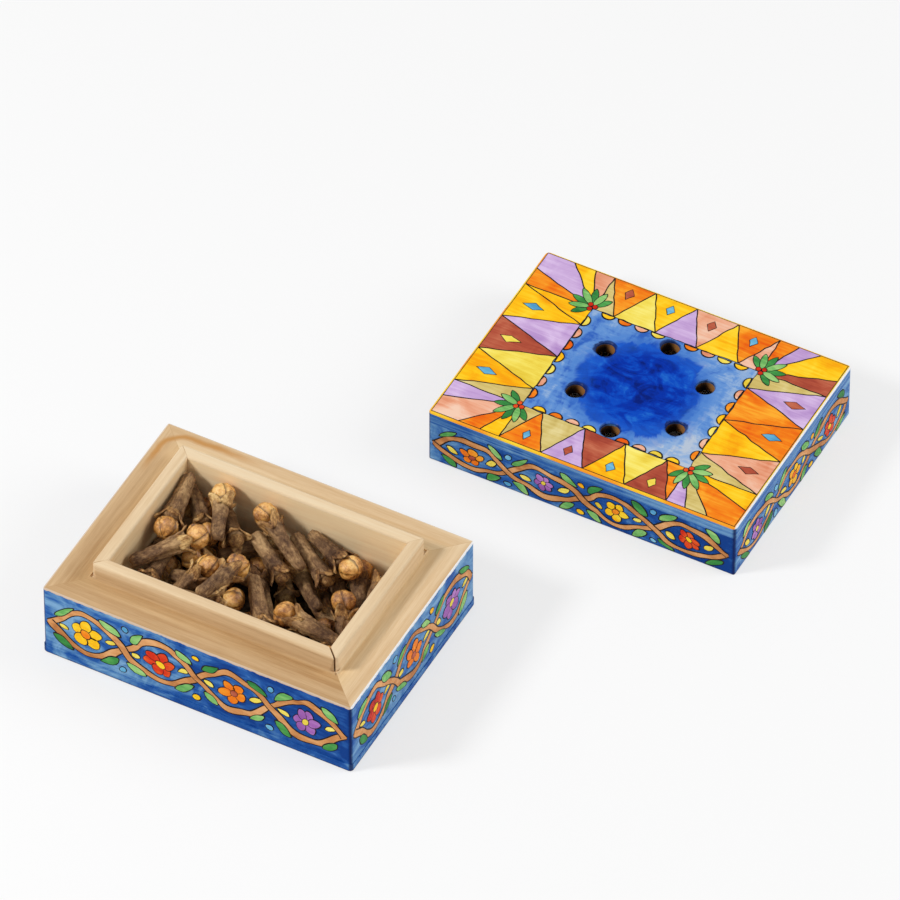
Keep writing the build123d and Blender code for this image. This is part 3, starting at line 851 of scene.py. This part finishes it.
# Materials of a clove by their place in the mesh, each from its darkest tone to its palest.
STEM, SEPAL, BUD = range(3)
CLOVE_TONES = (
    ("clove_stem", ((0.40, (0.080, 0.036, 0.016)), (0.47, (0.205, 0.108, 0.048)),
                    (0.53, (0.365, 0.210, 0.092)), (0.61, (0.60, 0.38, 0.18)))),
    ("clove_sepal", ((0.40, (0.060, 0.024, 0.010)), (0.47, (0.25, 0.115, 0.040)),
                     (0.53, (0.53, 0.290, 0.100)), (0.61, (0.88, 0.60, 0.26)))),
    ("clove_bud", ((0.40, (0.20, 0.065, 0.016)), (0.47, (0.45, 0.190, 0.045)),
                   (0.53, (0.78, 0.385, 0.095)), (0.61, (0.95, 0.62, 0.22)))),
)
# Painted shade in the folds of the bud's petals.
FOLD_PAINTED_SHADE = (0.070, 0.024, 0.008)
# How the bud's four petals fold over, along the two ways of its pattern.
FOLD_TURN, FOLD_RISE = 0.5, 1 / 28


def clove_finishes():
    """Wrinkled stem, curled sepals with pale tips, and a waxy golden bud, with painted highlight on the
    ridges and painted shade in the bud's folds.
    """
    finishes = []
    for name, colours in CLOVE_TONES:
        shader = Shader(name)
        uv = shader.new("UVMap").outputs[0]
        ridges = shader.noise((2.4, 0.55, 1.0), 6.0, 0.68, 0.7, source=uv)
        pits = shader.noise((5.0, 3.2, 1.0), 4.0, 0.6, 0.4, source=uv)
        specks = shader.noise((1100, 1100, 1100), 4.0, 0.65)
        each = shader.noise((130, 130, 130), 2.0, 0.5)
        waxy = name == "clove_bud"
        # Painted highlight and shade: tone rises with the ridges' height, so the ridges are paler and the
        # hollows between them darker.
        tone = shader.times_plus(ridges, 0.25 if waxy else 0.30, shader.times(specks, 0.30))
        tone = shader.times_plus(each, 0.45 if waxy else 0.40, tone)
        colour = shader.ramp(tone, colours)
        relief = shader.bump(ridges, 0.45 if waxy else 0.9, 0.45 * MM)
        relief = shader.bump(pits, 0.5 if waxy else 0.9, 0.20 * MM, relief)
        relief = shader.bump(specks, 0.3 if waxy else 0.7, 0.10 * MM, relief)
        if waxy:
            u, v, _ = shader.parts(uv)
            fold = shader.calc("FRACT", shader.times_plus(v, FOLD_RISE, shader.times(u, FOLD_TURN)))
            # Painted shade: the bud is darkened along each petal fold.
            colour = shader.mix(shader.remap(fold, 0.0, 0.22, 0.75, 0.0), colour, FOLD_PAINTED_SHADE)
        gloss, specular = (0.26, 0.6) if waxy else (0.55, 0.25)
        finishes.append(shader.finish(colour, gloss, relief, specular))
    return finishes


def coat_faces(bm, verts, material, pattern_at):
    """The faces at these points, made smooth, with a material and the place of its pattern."""
    uv_layer = bm.loops.layers.uv.verify()
    faces = list({f for v in verts for f in v.link_faces})
    for f in faces:
        f.material_index = material
        f.smooth = True
        for loop in f.loops:
            loop[uv_layer].uv = pattern_at(loop.vert)
    return faces


def wrapped_grid(bm, around, rows, point_at, material, seed):
    """A grid rolled into a tube; point_at gives the point for an angle round it and a share of its length."""
    bm.loops.layers.uv.verify()
    verts = bmesh.ops.create_grid(bm, x_segments=around, y_segments=rows, size=0.5)["verts"]
    flat = {v: (v.co.x + 0.5, v.co.y + 0.5) for v in verts}
    coat_faces(bm, verts, material, lambda v: (flat[v][0] * 8.0 + seed, flat[v][1] * 14.0 + seed))
    for v, (turn, share) in flat.items():
        v.co = point_at(math.tau * turn, share)
    bmesh.ops.remove_doubles(bm, verts=verts, dist=1e-4)


def roughness_of(angle, height, seed, size):
    """Shrivelled surface: long soft ridges and finer creases."""
    c, s = math.cos(angle), math.sin(angle)
    long_ridges = noise.noise(Vector((c * 1.5, s * 1.5, height * 0.16 + seed)))
    creases = noise.noise(Vector((c * 3.4, s * 3.4, height * 0.6 + 3.1 * seed)))
    lumps = noise.noise(Vector((c * 2.4, s * 2.4, height * 1.3 + 1.7 * seed)))
    return size * (0.55 * long_ridges + 0.35 * creases + 0.25 * lumps)


def detailed_clove(bm, length, seed, open_cup):
    """One clove standing on its tail along +z, in millimetres."""
    crown = length - CLOVE_BUD_HEIGHT
    bend = 0.45 * math.sin(seed * 5.3)
    plump = 1.0 + 0.06 * math.sin(seed * 3.1)

    def stem(angle, share):
        height = share * (crown + 0.5)
        width = CLOVE_STEM_TAIL + (CLOVE_STEM_WAIST - CLOVE_STEM_TAIL) * min(1.0, share / WAIST_SHARE)
        if share > WAIST_SHARE:
            width += (CLOVE_CROWN - CLOVE_STEM_WAIST) * ((share - WAIST_SHARE) / (1 - WAIST_SHARE)) ** 1.2
        square = 0.5 * width * plump * (1.0 + 0.06 * math.cos(4 * angle))
        end = min(1.0, 6 * share + 0.55) if share > 0 else 0.0
        radius = (square + roughness_of(angle, height, seed, 0.62)) * end
        if share >= 1.0:
            radius = 0.0
        sway = bend * math.sin(math.pi * share)
        return Vector((radius * math.cos(angle) + sway, radius * math.sin(angle), height))

    wrapped_grid(bm, 26, 32, stem, STEM, seed)

    for i in range(SEPALS):
        sepal(bm, crown, math.tau * i / SEPALS + 0.16 * math.sin(seed + i), seed + i)

    if open_cup:
        def heart(angle, share):
            radius = 1.5 * math.sqrt(max(0.0, 1 - (2 * share - 1) ** 2))
            radius *= 1.0 + roughness_of(angle, 4 * share, seed, 0.5)
            return Vector((radius * math.cos(angle), radius * math.sin(angle), crown - 0.6 + 2.6 * share))
        wrapped_grid(bm, 14, 8, heart, SEPAL, seed)
        return

    lean = (0.25 * math.sin(seed * 2.3), 0.25 * math.cos(seed * 1.9))

    def ball(angle, share):
        polar = math.pi * share
        overlap = (2 * angle / math.pi + 0.5 * share + (FOLD_TURN + FOLD_RISE) * seed) % 1.0
        petals = 1.0 - 0.20 * (1.0 - overlap) ** 4 * math.sin(polar) ** 0.5
        radius = 2.6 * math.sin(polar) ** 0.9 * petals
        radius *= 1.0 + roughness_of(angle, 5 * share, seed, 0.26)
        height = crown + 0.53 * CLOVE_BUD_HEIGHT - 2.35 * math.cos(polar) * (1.0 - 0.08 * overlap)
        return Vector((radius * math.cos(angle) + lean[0] * share, radius * math.sin(angle) + lean[1] * share,
                       height))

    wrapped_grid(bm, 40, 16, ball, BUD, seed)


def sepal(bm, crown, turn, seed):
    """A thick curled point of the crown that stands out round the bud."""
    verts = bmesh.ops.create_grid(bm, x_segments=4, y_segments=7, size=0.5)["verts"]
    curl = 0.5 + 0.5 * math.sin(seed * 7.7)
    for v in verts:
        side, share = v.co.x, v.co.y + 0.5
        width = 2.9 * (1 - share) ** 0.65 + 0.35
        out = 1.55 + 1.45 * share ** 1.1 - 1.8 * abs(side) ** 2 * (1 - share) + 0.35 * curl * share ** 3
        up = crown - 1.2 + 3.4 * share - (0.5 + 0.9 * curl) * share ** 3
        rumple = 0.22 * noise.noise(Vector((4 * side, 3 * share, 2.7 * seed)))
        v.co = Vector((out + rumple, side * width, up + rumple))
    faces = coat_faces(bm, verts, SEPAL, lambda v: (v.co.y + seed, v.co.z + seed))
    walled = bmesh.ops.solidify(bm, geom=faces, thickness=0.65)
    shell = {v for g in walled["geom"] if isinstance(g, bmesh.types.BMFace) for v in g.verts}
    shell.update(verts)
    bmesh.ops.rotate(bm, verts=list(shell), cent=(0, 0, 0), matrix=Matrix.Rotation(turn, 3, "Z"))


def clove_places():
    """Where each solid clove lies: tail, direction, roll and length."""
    bm = bmesh.new()
    bm.from_mesh(nodes["cloves"].data)
    bmesh.ops.remove_doubles(bm, verts=bm.verts, dist=0.002 * MM)
    unseen, places = set(bm.verts), []
    for first in bm.verts:
        if first not in unseen:
            continue
        unseen.remove(first)
        island = [first]
        for v in island:
            for e in v.link_edges:
                near = e.other_vert(v)
                if near in unseen:
                    unseen.remove(near)
                    island.append(near)
        centre = sum((v.co for v in island), Vector()) / len(island)
        reach = max((v.co - centre).length for v in island)
        tips = [v.co for v in island if (v.co - centre).length > reach - 0.05 * MM]
        tail = sum(tips, Vector()) / len(tips)
        axis = (centre - tail).normalized()
        length = max((v.co - tail).dot(axis) for v in island)
        off_axis = [(v.co - tail) - axis * (v.co - tail).dot(axis) for v in island]
        widest = max(d.length for d in off_axis)
        lobe = max((d for d in off_axis if d.length > widest - 0.02 * MM), key=lambda d: d.z)
        places.append((tail, axis, lobe.normalized(), length))
    bm.free()
    return sorted(places, key=lambda p: tuple(round(c, 5) for c in p[0]))


def clove_heap():
    """Every clove in the tray, each a little different, where its solid lies."""
    bm = bmesh.new()
    chance = random.Random(11)
    for number, (tail, axis, lobe, length) in enumerate(clove_places()):
        one = bmesh.new()
        detailed_clove(one, length / MM, 1.0 + 0.83 * number, chance.random() < CLOVE_SHARE_OPEN)
        turn = Matrix((lobe, axis.cross(lobe), axis)).transposed().to_4x4()
        one.transform(Matrix.Translation(tail) @ turn @ Matrix.Scale(MM, 4))
        bmesh.ops.recalc_face_normals(one, faces=one.faces)
        mesh = bpy.data.meshes.new("one_clove")
        one.to_mesh(mesh)
        one.free()
        bm.from_mesh(mesh)
        bpy.data.meshes.remove(mesh)
    piece = piece_from(bm, "clove_heap")
    for finish in clove_finishes():
        piece.data.materials.append(finish)
    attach(piece, "box")
    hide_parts("cloves")


# ---- Studio ----

def studio_floor():
    """Pale floor that shows almost white to the camera and keeps a soft shadow."""
    bm = bmesh.new()
    bmesh.ops.create_grid(bm, x_segments=2, y_segments=2, size=FLOOR_SIZE / 2)
    floor = piece_from(bm, "studio_floor")
    shader = Shader("studio_floor")
    floor.data.materials.append(shader.finish(FLOOR_GREY, 0.9, specular=0.1))
    shown = shader.times(shader.times(seen_directly(shader), open_floor(shader)), FLOOR_WHITENING)
    blend = shader.new("MixShader")
    glow = shader.new("Emission")
    for socket, value in zip(blend.inputs, (shown, shader.bsdf.outputs[0], glow.outputs[0])):
        shader.put(socket, value)
    shader.put(shader.tree.nodes["Material Output"].inputs["Surface"], blend.outputs[0])


def open_floor(shader):
    """Nothing where the floor is covered, so the lid's hollow stays as dark as it is; one elsewhere."""
    cover = shader.new("AmbientOcclusion")
    cover.samples = COVER_SAMPLES
    cover.inputs["Distance"].default_value = COVER_REACH
    return shader.remap(cover.outputs["AO"], COVERED_SHARE, OPEN_SHARE)


def seen_directly(kit):
    """One for rays from the camera and for mirror and glass rays."""
    rays = kit.new("LightPath").outputs
    total = rays["Is Camera Ray"]
    for name in ("Is Glossy Ray", "Is Transmission Ray"):
        total = kit.larger(total, rays[name])
    return total


def studio_world():
    """A soft sky that is plain white where it is seen directly."""
    world = bpy.data.worlds.new("studio")
    bpy.context.scene.world = world
    world.use_nodes = True
    kit = Nodes(world.node_tree)
    sky = world.node_tree.nodes["Background"]
    sky.inputs["Color"].default_value = (1, 1, 1, 1)
    kit.put(sky.inputs["Strength"], kit.remap(seen_directly(kit), 0.0, 1.0, SKY_STRENGTH, 1.0))


def area_lamp(name, direction, size, energy):
    lamp = bpy.data.lights.new(name, "AREA")
    lamp.shape = "DISK"
    lamp.size, lamp.energy = size, energy
    direction = Vector(direction).normalized()
    placed = bpy.data.objects.new(name, lamp)
    placed.location = lid_centre / 2 + direction * LAMP_DISTANCE
    placed.rotation_euler = direction.to_track_quat("Z", "Y").to_euler()
    bpy.context.scene.collection.objects.link(placed)


def camera():
    data = bpy.data.cameras.new("camera")
    data.lens, data.sensor_width = CAMERA_LENS_MM, CAMERA_SENSOR_MM
    data.clip_start, data.clip_end = 0.05, 20.0
    place, aim = Vector(CAMERA_PLACE_MM) * MM, Vector(CAMERA_AIM_MM) * MM
    back = (place - aim).normalized()
    right = Vector((0, 0, 1)).cross(back).normalized()
    turn = Matrix((right, back.cross(right), back)).transposed().to_4x4()
    turn = turn @ Matrix.Rotation(math.radians(CAMERA_ROLL_DEGREES), 4, "Z")
    camera_object = bpy.data.objects.new("camera", data)
    camera_object.matrix_world = Matrix.Translation(place) @ turn
    bpy.context.scene.collection.objects.link(camera_object)
    bpy.context.scene.camera = camera_object


# ---- Making it ----

def repaint(node, material):
    """Give a CAD node a finished material in every slot it has."""
    mesh = nodes[node].data
    if not mesh.materials:
        mesh.materials.append(material)
    for slot in nodes[node].material_slots:
        slot.material = material


camera()

paint_materials = {name: motif_paint(name) for name in PAINT_ORDER}
for number, side in enumerate(SIDES):
    repaint("base_" + side + "_rail", tray_rail_finish(side, 1.0 + number))
    repaint("lid_" + side + "_rail", lid_rail_finish(side, 5.0 + number))
    plait_band("tray_" + side + "_plait", "box", side, (0.0, 0.0), TRAY_PLAIT_MM, number)
    plait_band("lid_" + side + "_plait", "lid", side, lid_centre, LID_PLAIT_MM, number + 2)
repaint("base_floor_board", floor_board_finish())
repaint("lid_top_board", lid_board_finish())
lid_patchwork()
clove_heap()

studio_floor()
studio_world()
for name, (direction, size, energy) in LAMPS.items():
    area_lamp(name, direction, size, energy)
bpy.context.scene.view_settings.view_transform = "Standard"
